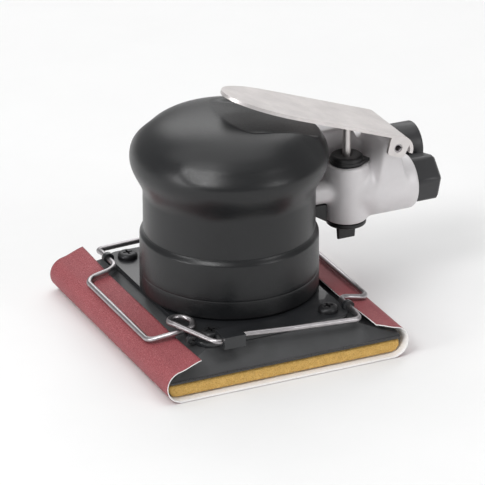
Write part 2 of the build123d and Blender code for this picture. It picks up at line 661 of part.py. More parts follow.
# ---------------------------------------------------------------- motor housing
barrel_x0 = VALVE_X + CONE_LEN
duct_x0 = housing_r - ARM_ROOT
with BuildPart() as motor_housing:
    # Cup round the motor
    with BuildSketch(at_axis(HOUSING_Z0)):
        Circle(housing_r)
    extrude(amount=housing_z1 - HOUSING_Z0)
    fillet(motor_housing.edges().group_by(Axis.Z)[-1], ROOF_EDGE_R)
    # Inlet barrel, exhaust duct and the tube that feeds the motor
    with BuildSketch(across(VALVE_X, 0, INLET_Z)):
        Circle(BOSS_R - CONE_STEP)
    with BuildSketch(across(barrel_x0, 0, INLET_Z)):
        Circle(BARREL_R)
    loft()
    with BuildSketch(across(barrel_x0, 0, INLET_Z)):
        Circle(BARREL_R)
    extrude(amount=ARM_END_X - barrel_x0)
    with BuildSketch(across(duct_x0, EXHAUST_Y, EXHAUST_Z)):
        Circle(DUCT_R)
    extrude(amount=ARM_END_X - duct_x0)
    with BuildSketch(across(duct_x0, 0, TUBE_Z)):
        Circle(TUBE_R)
    extrude(amount=VALVE_X - duct_x0)
    # Valve boss
    with BuildSketch(at_axis(BOSS_Z0, VALVE_X)):
        Circle(BOSS_R)
    extrude(amount=BOSS_Z1 - BOSS_Z0)
    # Wall between the housing and the hinge, above the duct
    web_mid = (WEB_Y0 + WEB_Y1) / 2
    with BuildSketch(upright(0, web_mid)):
        with BuildLine():
            Polyline((duct_x0, EXHAUST_Z), (duct_x0, WEB_TOP), (WEB_END_X - WEB_SLANT, WEB_TOP),
                     (WEB_END_X, EXHAUST_Z + DUCT_R - WEB_DROP), (WEB_END_X, EXHAUST_Z), close=True)
        make_face()
    extrude(amount=(WEB_Y1 - WEB_Y0) / 2, both=True)
    # Hinge block and its boss
    hinge_half = LEVER_W / 2 - LEVER_T - RUN_FIT * 2
    with BuildSketch(upright()):
        with BuildLine():
            Polyline((HINGE_X - HINGE_FOOT[0], INLET_Z), (HINGE_X - HINGE_BOSS_R, HINGE_Z),
                     (HINGE_X + HINGE_BOSS_R, HINGE_Z), (HINGE_X + HINGE_FOOT[1], INLET_Z), close=True)
        make_face()
        with Locations((HINGE_X, HINGE_Z)):
            Circle(HINGE_BOSS_R)
    extrude(amount=hinge_half - HINGE_NECK, both=True)
    with BuildSketch(upright()):
        with Locations((HINGE_X, HINGE_Z)):
            Circle(HINGE_BOSS_R)
    extrude(amount=hinge_half, both=True)
    # Motor bore
    with BuildSketch(at_axis(HOUSING_Z0)):
        Circle(BORE_R)
    extrude(amount=upper_plate_z1 - HOUSING_Z0, mode=Mode.SUBTRACT)
    # Hinge pin hole
    with BuildSketch(upright()):
        with Locations((HINGE_X, HINGE_Z)):
            Circle(PIN_R + SEAT_FIT)
    extrude(amount=LEVER_W, both=True, mode=Mode.SUBTRACT)
    # Valve bore, with its wider mouth for the guide and its shelf for the seat
    with BuildSketch(at_axis(BOSS_Z0, VALVE_X)):
        Circle(VALVE_BORE_R)
    extrude(amount=BOSS_Z1 - BOSS_Z0, mode=Mode.SUBTRACT)
    with BuildSketch(at_axis(BOSS_Z1 - GUIDE_PLUG_H - END_GAP, VALVE_X)):
        Circle(GUIDE_PLUG_R + SEAT_FIT)
    extrude(amount=GUIDE_PLUG_H + END_GAP, mode=Mode.SUBTRACT)
    # Inlet: spigot bore, then a passage below the seat; outlet above the seat
    with BuildSketch(across(ARM_END_X, 0, INLET_Z)):
        Circle(PORT_SPIGOT_R + SEAT_FIT)
    extrude(amount=-(SPIGOT_LEN + SCREEN_T + END_GAP), mode=Mode.SUBTRACT)
    with BuildSketch(across(ARM_END_X - SPIGOT_LEN, 0, SEAT_Z - PASSAGE_DROP)):
        Circle(PASSAGE_R)
    extrude(amount=-(ARM_END_X - SPIGOT_LEN - VALVE_X), mode=Mode.SUBTRACT)
    with BuildSketch(across(VALVE_X, 0, OUTLET_Z)):
        Circle(OUTLET_R)
    extrude(amount=-(VALVE_X - BORE_R + OUTLET_R), mode=Mode.SUBTRACT)
    # Exhaust: silencer bore, then the passage from the motor
    with BuildSketch(across(ARM_END_X, EXHAUST_Y, EXHAUST_Z)):
        Circle(PORT_SPIGOT_R + SEAT_FIT)
    extrude(amount=-(ARM_END_X - housing_r - EXHAUST_WALL), mode=Mode.SUBTRACT)
    with BuildSketch(across(housing_r + EXHAUST_WALL, EXHAUST_Y, EXHAUST_Z)):
        Circle(SILENCER_BORE_R - 1.0)
    extrude(amount=-CUTTER_LEN, mode=Mode.SUBTRACT)
    rings = motor_housing.edges().filter_by(GeomType.CIRCLE).group_by(Axis.X)[-1]
    chamfer([ring for ring in rings if ring.radius < PORT_SPIGOT_R + 1.0], PORT_CHAMFER)
save(motor_housing.part, "motor_housing")

# ---------------------------------------------------------------- throttle valve
with BuildPart() as valve_guide:
    with BuildSketch(at_axis(BOSS_Z1 - GUIDE_PLUG_H, VALVE_X)):
        Circle(GUIDE_PLUG_R)
    extrude(amount=GUIDE_PLUG_H)
    with BuildSketch(at_axis(BOSS_Z1, VALVE_X)):
        Circle(GUIDE_D / 2)
        with BuildLine():
            Polyline(EAR_IN, (GUIDE_D / 2 + EAR_OUT[0], EAR_OUT[1]),
                     (GUIDE_D / 2 - EAR_BACK[0], EAR_BACK[1]), (EAR_IN[0], 0), close=True)
        make_face()
    extrude(amount=GUIDE_T * GUIDE_LOW)
    with BuildSketch(at_axis(BOSS_Z1 + GUIDE_T * GUIDE_LOW, VALVE_X)):
        Circle(GUIDE_D / 2 - GUIDE_STEP)
    extrude(amount=GUIDE_T * (1 - GUIDE_LOW))
    chamfer(valve_guide.edges().group_by(Axis.Z)[-1], GUIDE_CHAMFER)
    with BuildSketch(at_axis(BOSS_Z1 - GUIDE_PLUG_H, VALVE_X)):
        Circle(STEM_R + RUN_FIT)
    extrude(amount=GUIDE_PLUG_H + GUIDE_T, mode=Mode.SUBTRACT)
save(valve_guide.part, "valve_guide")

with BuildPart() as valve_seat:
    with BuildSketch(at_axis(SEAT_Z, VALVE_X)):
        Circle(VALVE_BORE_R - SEAT_FIT)
        Circle(STEM_R + SEAT_GAP, mode=Mode.SUBTRACT)
    extrude(amount=SEAT_T)
save(valve_seat.part, "valve_seat")

# The stem's round top just clears the released lever
lever_slope = radians(LEVER_SLOPE)
underside = LEVER_RISE - LEVER_T
stem_centre_z = (HINGE_Z + (HINGE_X - VALVE_X) * tan(lever_slope)
                 + (underside - STEM_R - RUN_FIT) / cos(lever_slope))
with BuildPart() as valve_stem:
    with BuildSketch(at_axis(SEAT_Z, VALVE_X)):
        Circle(STEM_R)
    extrude(amount=stem_centre_z - SEAT_Z)
    with Locations((VALVE_X, 0, stem_centre_z)):
        Sphere(STEM_R)
    with BuildSketch(at_axis(SEAT_Z - POPPET_T, VALVE_X)):
        Circle(POPPET_R)
    extrude(amount=POPPET_T)
    chamfer(valve_stem.edges().group_by(Axis.Z)[0], POPPET_CHAMFER)
save(valve_stem.part, "valve_stem")

spring_z0 = BOSS_Z0 + REG_PLUG_H
spring_h = SEAT_Z - POPPET_T - spring_z0
with BuildPart() as valve_spring:
    with BuildLine(at_axis(spring_z0 + SPRING_WIRE / 2, VALVE_X)) as spring_line:
        Helix(pitch=(spring_h - SPRING_WIRE) / SPRING_TURNS, height=spring_h - SPRING_WIRE,
              radius=SPRING_R)
    with BuildSketch(Plane(origin=spring_line.line @ 0, z_dir=spring_line.line % 0)):
        Circle(SPRING_WIRE / 2)
    sweep(path=spring_line.line, is_frenet=True)
save(valve_spring.part, "valve_spring")

# ---------------------------------------------------------------- air regulator
with BuildPart() as regulator_knob:
    with BuildSketch(at_axis(BOSS_Z0, VALVE_X)):
        Circle(VALVE_BORE_R - RUN_FIT)
    extrude(amount=REG_PLUG_H - END_GAP)
    with BuildSketch(at_axis(BOSS_Z0 - END_GAP, VALVE_X)):
        Circle(REG_FLANGE_D / 2)
    extrude(amount=-REG_FLANGE_T)
    fillet(regulator_knob.edges().group_by(Axis.Z)[0], REG_EDGE_R)
    with BuildSketch(at_axis(BOSS_Z0 - END_GAP, VALVE_X)):
        Circle(VALVE_BORE_R - RUN_FIT)
    extrude(amount=END_GAP)
    with BuildSketch(at_axis(BOSS_Z0 - END_GAP - REG_FLANGE_T, VALVE_X)):
        SlotOverall(REG_BLADE_W, REG_BLADE_T)
    extrude(amount=-REG_BLADE_H, taper=REG_TAPER)
    with BuildSketch(at_axis(BOSS_Z0 + REG_PLUG_H / 2 - REG_RING_R, VALVE_X)):
        Circle(VALVE_BORE_R)
        Circle(VALVE_BORE_R - 2 * REG_RING_R, mode=Mode.SUBTRACT)
    extrude(amount=2 * REG_RING_R, mode=Mode.SUBTRACT)
save(regulator_knob.part, "regulator_knob")

with BuildPart() as regulator_oring:
    with BuildSketch(upright()):
        with Locations((VALVE_X + VALVE_BORE_R - REG_RING_R, BOSS_Z0 + REG_PLUG_H / 2)):
            Circle(REG_RING_R - SEAT_FIT)
    revolve(axis=Axis((VALVE_X, 0, 0), (0, 0, 1)))
save(regulator_oring.part, "regulator_oring")

# ---------------------------------------------------------------- inlet bushing
with BuildPart() as inlet_bushing:
    with BuildSketch(across(ARM_END_X, 0, INLET_Z)):
        RegularPolygon(INLET_HEX_R, 6, rotation=INLET_HEX_TURN)
    extrude(amount=INLET_LEN)
    fillet(inlet_bushing.edges().filter_by(Axis.X), HEX_ROUND)
    chamfer(inlet_bushing.edges().group_by(Axis.X)[-1], HEX_CHAMFER)
    with BuildSketch(across(ARM_END_X, 0, INLET_Z)):
        Circle(PORT_SPIGOT_R)
    extrude(amount=-SPIGOT_LEN)
    with BuildSketch(across(ARM_END_X - SPIGOT_LEN, 0, INLET_Z)):
        Circle(INLET_BORE_R)
    extrude(amount=SPIGOT_LEN + INLET_LEN, mode=Mode.SUBTRACT)
save(inlet_bushing.part, "inlet_bushing")

with BuildPart() as inlet_screen:
    with BuildSketch(across(ARM_END_X - SPIGOT_LEN, 0, INLET_Z)):
        Circle(PORT_SPIGOT_R - SEAT_FIT)
        with HexLocations(MESH_PITCH, MESH_ROWS, MESH_ROWS):
            Circle(MESH_R, mode=Mode.SUBTRACT)
    extrude(amount=-SCREEN_T)
save(inlet_screen.part, "inlet_screen")

# ---------------------------------------------------------------- exhaust silencer
with BuildPart() as exhaust_silencer:
    with BuildSketch(across(ARM_END_X, EXHAUST_Y, EXHAUST_Z)):
        Circle(SILENCER_R)
    extrude(amount=SILENCER_LEN)
    fillet(exhaust_silencer.edges().group_by(Axis.X)[-1], SILENCER_EDGE_R)
    with BuildSketch(across(ARM_END_X, EXHAUST_Y, EXHAUST_Z)):
        Circle(PORT_SPIGOT_R)
    extrude(amount=-SPIGOT_LEN)
    with BuildSketch(across(ARM_END_X - SPIGOT_LEN, EXHAUST_Y, EXHAUST_Z)):
        Circle(SILENCER_BORE_R)
    extrude(amount=SPIGOT_LEN + SILENCER_LEN - SILENCER_END, mode=Mode.SUBTRACT)
    with BuildSketch(across(ARM_END_X + SILENCER_LEN, EXHAUST_Y, EXHAUST_Z)):
        with PolarLocations(VENT_AT, VENTS):
            Circle(VENT_R)
        Circle(VENT_R)
    extrude(amount=-SILENCER_END, mode=Mode.SUBTRACT)
save(exhaust_silencer.part, "exhaust_silencer")

with BuildPart() as exhaust_element:
    with BuildSketch(across(ARM_END_X - SPIGOT_LEN + ELEMENT_INSET, EXHAUST_Y, EXHAUST_Z)):
        Circle(SILENCER_BORE_R - SEAT_FIT)
        Circle(SILENCER_BORE_R - ELEMENT_WALL, mode=Mode.SUBTRACT)
    extrude(amount=ELEMENT_LEN)
save(exhaust_element.part, "exhaust_element")


# ---------------------------------------------------------------- throttle lever
def lever_plane(slope):
    """Hinge-pin frame of the lever: x runs to the palm end, z out of its face."""
    turn = radians(slope)
    return Plane(origin=(HINGE_X, 0, HINGE_Z), x_dir=(-cos(turn), 0, sin(turn)),
                 z_dir=(sin(turn), 0, cos(turn)))


lever_half = LEVER_W / 2
lug_x0, lug_x1 = -LUG_LEN / 2, LUG_LEN / 2
lug_top = LEVER_RISE - LEVER_T / 2
released = lever_plane(LEVER_SLOPE)
side_view = Plane(origin=released.origin, x_dir=released.x_dir, z_dir=(0, 1, 0))
palm_x = LEVER_REACH - LEVER_PALM_LEN
tail_r = LEVER_TAIL_R - LEVER_T / 2
with BuildPart() as lever:
    # Plate with its hood, seen from the side
    with BuildSketch(side_view):
        with BuildLine():
            Line((LEVER_REACH, LEVER_TAIL_AT + tail_r), (LEVER_TAIL_AT, LEVER_TAIL_AT + tail_r))
            CenterArc((LEVER_TAIL_AT, LEVER_TAIL_AT), tail_r, 90, 90)
        trace(line_width=LEVER_T)
    extrude(amount=lever_half, both=True)
    # Outline seen square to the plate
    with BuildSketch(released.offset(LEVER_RISE)):
        with BuildLine():
            far_x = -2 * LEVER_TAIL_R
            Polyline((palm_x, lever_half), (far_x, lever_half), (far_x, -lever_half),
                     (palm_x, -lever_half))
            EllipticalCenterArc((palm_x, 0), LEVER_PALM_LEN, lever_half,
                                start_angle=-90, arc_size=180)
        make_face()
    extrude(amount=3 * LEVER_RISE, both=True, mode=Mode.INTERSECT)
    for side in SIDES:
        lug_y = side * (lever_half - LEVER_T / 2)
        lug_plane = Plane(origin=released.from_local_coords(Vector(0, lug_y, 0)),
                          x_dir=released.x_dir, z_dir=(0, 1, 0))
        with BuildSketch(lug_plane):
            with BuildLine():
                Polyline((lug_x0, lug_top), (lug_x0 + LUG_SLANT, -LUG_DROP),
                         (lug_x1 - LUG_SLANT, -LUG_DROP), (lug_x1, lug_top), close=True)
            make_face()
            fillet([v for v in vertices() if v.Z < HINGE_Z - 1], LUG_CORNER_R)
            Circle(PIN_R + RUN_FIT, mode=Mode.SUBTRACT)
        extrude(amount=LEVER_T / 2, both=True)
save(lever.part, "lever")

with BuildPart() as lever_pin:
    with BuildSketch(upright()):
        with Locations((HINGE_X, HINGE_Z)):
            Circle(PIN_R)
            Circle(PIN_R - PIN_WALL, mode=Mode.SUBTRACT)
        with Locations((HINGE_X + PIN_R, HINGE_Z)):
            Rectangle(*PIN_SLOT, mode=Mode.SUBTRACT)
    extrude(amount=lever_half - PIN_INSET, both=True)
save(lever_pin.part, "lever_pin")

# ---------------------------------------------------------------- rubber grip
with BuildPart() as grip_cover:
    with BuildSketch(upright()):
        with BuildLine():
            dome = []
            for step in range(HEAD_POINTS + 1):
                angle = pi / 2 * step / HEAD_POINTS
                dome.append((HEAD_R * cos(angle) ** (2 / HEAD_POWER),
                             HEAD_Z + (GRIP_TOP - HEAD_Z) * sin(angle)))
            Line((housing_r, SKIRT_Z1), (WAIST_R + FOOT_FLARE, SKIRT_Z1))
            Line((WAIST_R + FOOT_FLARE, SKIRT_Z1), (WAIST_R, SKIRT_Z1 + FOOT_H))
            Line((WAIST_R, SKIRT_Z1 + FOOT_H), (WAIST_R, WAIST_TOP))
            Spline((WAIST_R, WAIST_TOP), (HEAD_R, HEAD_Z), tangents=((0, 1), (0, 1)))
            Spline(*dome[:-1], (0, GRIP_TOP), tangents=((0, 1), (-1, 0)))
            Polyline((0, GRIP_TOP), (0, housing_z1), (housing_r, housing_z1), (housing_r, SKIRT_Z1))
        make_face()
    revolve(axis=Axis.Z)
    # Hollow under the pressed lever
    pressed = lever_plane(LEVER_SLOPE - LEVER_TRAVEL)
    with BuildSketch(pressed.offset(LEVER_RISE - LEVER_T - LEVER_RELIEF)):
        with BuildLine():
            far_x = LEVER_REACH - LEVER_PALM_LEN
            wide = lever_half + LEVER_RELIEF
            Polyline((far_x, wide), (0, wide), (0, -wide), (far_x, -wide))
            EllipticalCenterArc((far_x, 0), LEVER_PALM_LEN + 2 * LEVER_RELIEF, wide,
                                start_angle=-90, arc_size=180)
        make_face()
    extrude(amount=CUTTER_LEN, mode=Mode.SUBTRACT)
    # Gusset under the feed tube
    with BuildSketch(upright()):
        with BuildLine():
            Polyline((WAIST_R - GUSSET_ROOT, GUSSET_Z1), (WAIST_R - GUSSET_ROOT, SKIRT_Z1 + AIR_GAP),
                     (SKIRT_R0 + AIR_GAP, SKIRT_Z1 + AIR_GAP),
                     (SKIRT_R0 + AIR_GAP, GUSSET_Z0 + GUSSET_FALL),
                     (GUSSET_X, GUSSET_Z0), (GUSSET_X, GUSSET_Z1), close=True)
        make_face()
    extrude(amount=GUSSET_W / 2, both=True)
    # Openings for the exhaust duct and the feed tube
    with BuildSketch(across(duct_x0, EXHAUST_Y, EXHAUST_Z)):
        Circle(DUCT_R + SEAT_FIT)
        with Locations((web_mid - EXHAUST_Y, (WEB_TOP - EXHAUST_Z) / 2)):
            Rectangle(WEB_Y1 - WEB_Y0 + 2 * SEAT_FIT, WEB_TOP - EXHAUST_Z + 2 * SEAT_FIT)
    extrude(amount=CUTTER_LEN, mode=Mode.SUBTRACT)
    with BuildSketch(across(duct_x0, 0, TUBE_Z)):
        Circle(TUBE_R + SEAT_FIT)
    extrude(amount=CUTTER_LEN, mode=Mode.SUBTRACT)
save(grip_cover.part, "grip_cover")
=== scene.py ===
"""Looks of the pneumatic orbital sander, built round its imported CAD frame."""

import json
import math

import bpy
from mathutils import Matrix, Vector, noise


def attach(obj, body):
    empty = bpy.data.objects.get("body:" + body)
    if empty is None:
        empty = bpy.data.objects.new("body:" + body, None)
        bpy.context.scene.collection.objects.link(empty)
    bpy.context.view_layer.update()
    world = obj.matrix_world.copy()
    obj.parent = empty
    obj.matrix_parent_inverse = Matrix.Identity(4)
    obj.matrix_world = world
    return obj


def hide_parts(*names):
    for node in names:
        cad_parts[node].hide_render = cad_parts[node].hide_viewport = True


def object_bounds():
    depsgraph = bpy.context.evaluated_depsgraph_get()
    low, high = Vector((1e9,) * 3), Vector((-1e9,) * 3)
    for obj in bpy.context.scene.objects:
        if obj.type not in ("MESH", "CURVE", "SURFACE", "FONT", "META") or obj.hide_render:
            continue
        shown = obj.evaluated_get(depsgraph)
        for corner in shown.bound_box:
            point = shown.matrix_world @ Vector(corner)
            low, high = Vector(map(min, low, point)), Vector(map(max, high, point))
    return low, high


bpy.context.scene.view_settings.view_transform = "Standard"
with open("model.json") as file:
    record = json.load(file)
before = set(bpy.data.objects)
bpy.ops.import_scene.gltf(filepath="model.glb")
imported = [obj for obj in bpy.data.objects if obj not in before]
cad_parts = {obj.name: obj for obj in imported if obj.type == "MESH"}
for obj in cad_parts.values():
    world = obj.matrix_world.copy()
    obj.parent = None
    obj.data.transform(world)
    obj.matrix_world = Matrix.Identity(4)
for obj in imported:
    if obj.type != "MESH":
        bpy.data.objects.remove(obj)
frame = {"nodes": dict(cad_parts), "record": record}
cad_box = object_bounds()
nodes = frame["nodes"]

MM = 0.001
MERGE = 0.002            # vertices closer than this are one

# ------------------------------------------------------------------ camera
CAM_AZIMUTH, CAM_ELEVATION = math.radians(-25.23), math.radians(24.60)
CAM_TARGET = Vector((50.39, 94.78, -14.83)) * MM
CAM_DISTANCE = 1.741
CAM_LENS, CAM_SENSOR = 308.3, 36.0


def add_camera():
    """The photograph's long lens, from the front left and above."""
    back = Vector((math.sin(CAM_AZIMUTH) * math.cos(CAM_ELEVATION),
                   -math.cos(CAM_AZIMUTH) * math.cos(CAM_ELEVATION),
                   math.sin(CAM_ELEVATION)))
    data = bpy.data.cameras.new("camera")
    data.lens, data.sensor_width = CAM_LENS, CAM_SENSOR
    data.clip_end = 50.0
    camera = bpy.data.objects.new("camera", data)
    bpy.context.scene.collection.objects.link(camera)
    camera.location = CAM_TARGET + back * CAM_DISTANCE
    camera.rotation_euler = (-back).to_track_quat("-Z", "Y").to_euler()
    bpy.context.scene.camera = camera


# ------------------------------------------------------------------ stage and light
FLOOR_HALF = 6.0


def add_light(name, place, target, size, power, colour=(1.0, 1.0, 1.0)):
    """A soft box that faces its target."""
    data = bpy.data.lights.new(name, "AREA")
    data.shape = "RECTANGLE"
    data.size, data.size_y = size
    data.energy = power
    data.color = colour
    lamp = bpy.data.objects.new(name, data)
    bpy.context.scene.collection.objects.link(lamp)
    lamp.location = place
    lamp.rotation_euler = (Vector(target) - Vector(place)).to_track_quat("-Z", "Y").to_euler()


def add_stage():
    """Pale floor, pale surroundings and the soft boxes."""
    mesh = bpy.data.meshes.new("floor")
    f = FLOOR_HALF
    mesh.from_pydata([(-f, -f, 0), (f, -f, 0), (f, f, 0), (-f, f, 0)], [], [(0, 1, 2, 3)])
    floor = bpy.data.objects.new("floor", mesh)
    bpy.context.scene.collection.objects.link(floor)
    floor.location.z = cad_box[0][2] - 0.05 * MM
    floor.data.materials.append(paint("floor_white", (0.86, 0.86, 0.86), 0.85, tint=0.01, tint_mm=60.0))
    world = bpy.data.worlds.new("studio")
    bpy.context.scene.world = world
    world.use_nodes = True
    background = world.node_tree.nodes["Background"]
    background.inputs["Color"].default_value = (1.0, 1.0, 1.0, 1.0)
    background.inputs["Strength"].default_value = 0.36
    middle = (0.0, 0.0, 0.04)
    add_light("key", (-0.85, -0.55, 1.10), middle, (0.45, 0.45), 7.0)
    add_light("left_box", (-1.20, -0.20, 0.35), middle, (0.35, 0.50), 4.0)
    add_light("right_box", (0.75, -1.20, 0.60), middle, (0.25, 0.80), 3.5)
    add_light("overhead", (0.00, 0.20, 1.90), middle, (2.4, 2.0), 17.0)
    add_light("back_panel", (0.70, 1.35, 1.15), middle, (1.6, 0.8), 9.0)
    add_light("back_card", (1.40, 2.05, 0.22), middle, (1.4, 0.35), 0.8)


# ------------------------------------------------------------------ materials
def new_tree(name):
    """A fresh node material: its name, tree, shader and coordinates in metres."""
    material = bpy.data.materials.new(name)
    material.use_nodes = True
    tree = material.node_tree
    shader = tree.nodes["Principled BSDF"]
    place = tree.nodes.new("ShaderNodeTexCoord")
    return material, tree, shader, place.outputs["Object"]


def add_noise(tree, where, size_mm, detail=4.0, stretch=(1, 1, 1), rough=0.6):
    """Noise with features of a size in millimetres; its factor output."""
    mapping = tree.nodes.new("ShaderNodeMapping")
    mapping.inputs["Scale"].default_value = stretch
    tree.links.new(where, mapping.inputs["Vector"])
    node = tree.nodes.new("ShaderNodeTexNoise")
    node.inputs["Scale"].default_value = 1.0 / (size_mm * MM)
    node.inputs["Detail"].default_value = detail
    node.inputs["Roughness"].default_value = rough
    tree.links.new(mapping.outputs["Vector"], node.inputs["Vector"])
    return node.outputs["Fac"]


def ramp(tree, source, stops):
    """Colour ramp over a factor; stops are (position, colour)."""
    node = tree.nodes.new("ShaderNodeValToRGB")
    bar = node.color_ramp
    while len(bar.elements) < len(stops):
        bar.elements.new(0.5)
    for element, (position, colour) in zip(bar.elements, stops):
        element.position = position
        element.color = (*colour, 1.0)
    tree.links.new(source, node.inputs["Fac"])
    return node.outputs["Color"]


def spread(tree, source, low, high):
    """A factor mapped from its middle range onto low..high."""
    node = tree.nodes.new("ShaderNodeMapRange")
    node.inputs["From Min"].default_value = 0.3
    node.inputs["From Max"].default_value = 0.7
    node.inputs["To Min"].default_value = low
    node.inputs["To Max"].default_value = high
    tree.links.new(source, node.inputs["Value"])
    return node.outputs["Result"]


def add_bump(tree, shader, source, depth_mm, strength=1.0, under=None):
    """Bump of a depth in millimetres, over an earlier bump if there is one."""
    node = tree.nodes.new("ShaderNodeBump")
    node.inputs["Distance"].default_value = depth_mm * MM
    node.inputs["Strength"].default_value = strength
    tree.links.new(source, node.inputs["Height"])
    if under:
        tree.links.new(under, node.inputs["Normal"])
    tree.links.new(node.outputs["Normal"], shader.inputs["Normal"])
    return node.outputs["Normal"]


def shaded(colour, share):
    """The colour made lighter or darker by a share."""
    return tuple(min(1.0, c * (1.0 + share)) for c in colour)


def paint(name, colour, rough, metal=0.0, tint=0.12, tint_mm=8.0, grain_mm=0.35, grain=0.03,
          rough_spread=0.06, stretch=(1, 1, 1), coat=0.0, specular=0.5):
    """Solid finish with mottled tint, uneven gloss and a fine grain."""
    material, tree, shader, where = new_tree(name)
    large = add_noise(tree, where, tint_mm, stretch=stretch)
    tree.links.new(ramp(tree, large, [(0.3, shaded(colour, -tint)), (0.7, shaded(colour, tint))]),
                   shader.inputs["Base Color"])
    fine = add_noise(tree, where, grain_mm, detail=3.0, stretch=stretch)
    tree.links.new(spread(tree, fine, rough - rough_spread, rough + rough_spread),
                   shader.inputs["Roughness"])
    add_bump(tree, shader, fine, grain)
    shader.inputs["Metallic"].default_value = metal
    shader.inputs["Coat Weight"].default_value = coat
    shader.inputs["Specular IOR Level"].default_value = specular
    return material


def rubber(name, colour, rough):
    """Satin moulded rubber: pebble grain, dusty bloom and scuffs."""
    material, tree, shader, where = new_tree(name)
    bloom = add_noise(tree, where, 22.0, detail=5.0)
    tree.links.new(ramp(tree, bloom, [(0.3, shaded(colour, -0.2)), (0.55, colour),
                                      (0.8, shaded(colour, 0.35))]), shader.inputs["Base Color"])
    pebble = add_noise(tree, where, 0.55, detail=2.0)
    fine = add_noise(tree, where, 0.18, detail=2.0)
    tree.links.new(spread(tree, pebble, rough - 0.05, rough + 0.07), shader.inputs["Roughness"])
    first = add_bump(tree, shader, pebble, 0.035)
    add_bump(tree, shader, fine, 0.012, under=first)
    shader.inputs["Specular IOR Level"].default_value = 0.45
    return material


def brushed(name, colour, rough, stretch, grain=0.012, tint=0.08):
    """Bare metal with brush lines along the axis that isn't stretched."""
    material, tree, shader, where = new_tree(name)
    lines = add_noise(tree, where, 0.30, detail=5.0, stretch=stretch)
    patches = add_noise(tree, where, 9.0, detail=3.0)
    tree.links.new(ramp(tree, patches, [(0.3, shaded(colour, -tint)), (0.7, shaded(colour, tint))]),
                   shader.inputs["Base Color"])
    tree.links.new(spread(tree, lines, rough - 0.08, rough + 0.10), shader.inputs["Roughness"])
    add_bump(tree, shader, lines, grain)
    shader.inputs["Metallic"].default_value = 1.0
    return material


def abrasive(name):
    """Red grit: crystals of mixed tone on a resin ground."""
    material, tree, shader, where = new_tree(name)
    grit = add_noise(tree, where, 0.34, detail=4.0, rough=0.75)
    cloud = add_noise(tree, where, 16.0, detail=3.0)
    tone = ramp(tree, grit, [(0.30, (0.13, 0.020, 0.026)), (0.46, (0.28, 0.050, 0.062)),
                             (0.60, (0.42, 0.110, 0.120)), (0.74, (0.80, 0.48, 0.47))])
    wash = ramp(tree, cloud, [(0.3, (0.88, 0.86, 0.86)), (0.7, (1.0, 1.0, 1.0))])
    mix = tree.nodes.new("ShaderNodeMix")
    mix.data_type, mix.blend_type = "RGBA", "MULTIPLY"
    mix.inputs["Factor"].default_value = 1.0
    tree.links.new(tone, mix.inputs[6])
    tree.links.new(wash, mix.inputs[7])
    tree.links.new(mix.outputs[2], shader.inputs["Base Color"])
    crystals = tree.nodes.new("ShaderNodeTexVoronoi")
    crystals.inputs["Scale"].default_value = 1.0 / (0.42 * MM)
    tree.links.new(where, crystals.inputs["Vector"])
    first = add_bump(tree, shader, crystals.outputs["Distance"], 0.16, strength=0.9)
    add_bump(tree, shader, grit, 0.10, under=first)
    shader.inputs["Roughness"].default_value = 0.62
    shader.inputs["Specular IOR Level"].default_value = 0.55
    return material


def paper_back(name):
    """Off-white paper backing with fibres."""
    material, tree, shader, where = new_tree(name)
    fibre = add_noise(tree, where, 0.5, detail=5.0, stretch=(1, 0.25, 1))
    tree.links.new(ramp(tree, fibre, [(0.3, (0.86, 0.85, 0.84)), (0.7, (0.95, 0.94, 0.94))]),
                   shader.inputs["Base Color"])
    add_bump(tree, shader, fibre, 0.03)
    shader.inputs["Roughness"].default_value = 0.8
    return material


def foam(name):
    """Golden foam with open pores of two sizes, each pore darker at its centre as painted shade in the
    hole.
    """
    material, tree, shader, where = new_tree(name)
    pores = tree.nodes.new("ShaderNodeTexVoronoi")
    pores.inputs["Scale"].default_value = 1.0 / (0.55 * MM)
    tree.links.new(where, pores.inputs["Vector"])
    cloud = add_noise(tree, where, 1.6, detail=4.0)
    # The darkest stop, at each pore's centre, is painted shade inside the pore hole.
    pores_painted_shade = ramp(tree, pores.outputs["Distance"], [(0.05, (0.44, 0.23, 0.045)),
                                                   (0.30, (0.70, 0.42, 0.095)),
                                                   (0.70, (0.78, 0.51, 0.16))])
    wash = ramp(tree, cloud, [(0.3, (0.84, 0.80, 0.74)), (0.7, (1.0, 1.0, 1.0))])
    mix = tree.nodes.new("ShaderNodeMix")
    mix.data_type, mix.blend_type = "RGBA", "MULTIPLY"
    mix.inputs["Factor"].default_value = 1.0
    tree.links.new(pores_painted_shade, mix.inputs[6])
    tree.links.new(wash, mix.inputs[7])
    tree.links.new(mix.outputs[2], shader.inputs["Base Color"])
    add_bump(tree, shader, pores.outputs["Distance"], 0.25)
    shader.inputs["Roughness"].default_value = 0.9
    shader.inputs["Sheen Weight"].default_value = 0.2
    return material


